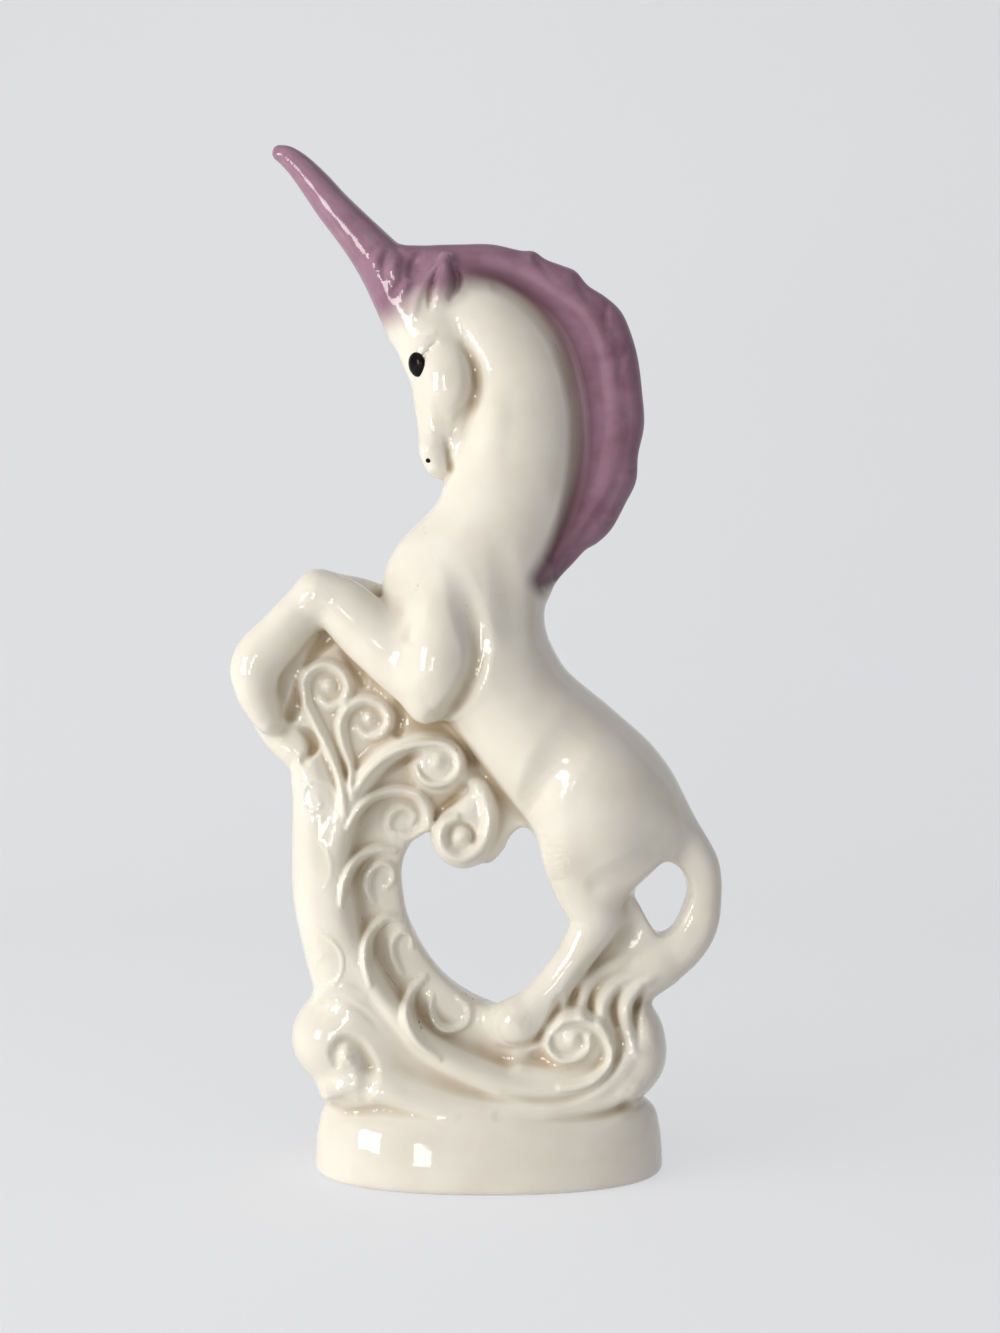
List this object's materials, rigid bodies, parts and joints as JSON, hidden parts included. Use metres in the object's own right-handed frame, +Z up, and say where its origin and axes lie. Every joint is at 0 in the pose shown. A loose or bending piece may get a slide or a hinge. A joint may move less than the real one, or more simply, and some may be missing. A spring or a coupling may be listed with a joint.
{
  "type": "unicorn figurine",
  "caption": "Rearing unicorn figurine on rococo scrollwork above an oval plinth: a glazed ceramic shelf ornament with a mauve horn and mane.",
  "frame": {"origin": "middle of the bottom of the box round the whole figurine, on the surface that it stands on", "axes": "+Z up, +X from the horse's chest towards its rump, +Y from the near side, which the picture shows, towards the far side"},
  "size_m": [0.1846, 0.064, 0.3783],
  "materials": {
    "white_glaze": "glossy clear glaze over cream-white earthenware",
    "mauve_glaze": "glossy mauve glaze, fading into the white",
    "black_glaze": "glossy black painted eye"
  },
  "bodies": {
    "root": {"plinth": "white_glaze", "scroll_channel": "white_glaze", "scroll_rail": "white_glaze", "ground_bed": "white_glaze", "foot_volute": "white_glaze", "outer_band": "white_glaze", "ground_volute": "white_glaze", "leaf_curls": "white_glaze", "rear_lobe": "white_glaze", "top_volute": "white_glaze", "pendant": "white_glaze", "fern_panel": "white_glaze", "tall_curl": "white_glaze", "short_curl": "white_glaze", "barrel": "white_glaze", "neck": "white_glaze", "head": "white_glaze", "hind_leg_near": "white_glaze", "hind_leg_far": "white_glaze", "tail": "white_glaze", "tail_tuft": "white_glaze", "arm_near": "white_glaze", "forearm_near": "white_glaze", "cannon_near": "white_glaze", "hoof_near": "white_glaze", "arm_far": "white_glaze", "forearm_far": "white_glaze", "cannon_far": "white_glaze", "hoof_far": "white_glaze", "horn": "mauve_glaze", "mane": "mauve_glaze", "forelock": "mauve_glaze", "ear_near": "mauve_glaze", "ear_far": "mauve_glaze", "eye_near": "black_glaze", "eye_far": "black_glaze"}
  },
  "joints": []
}
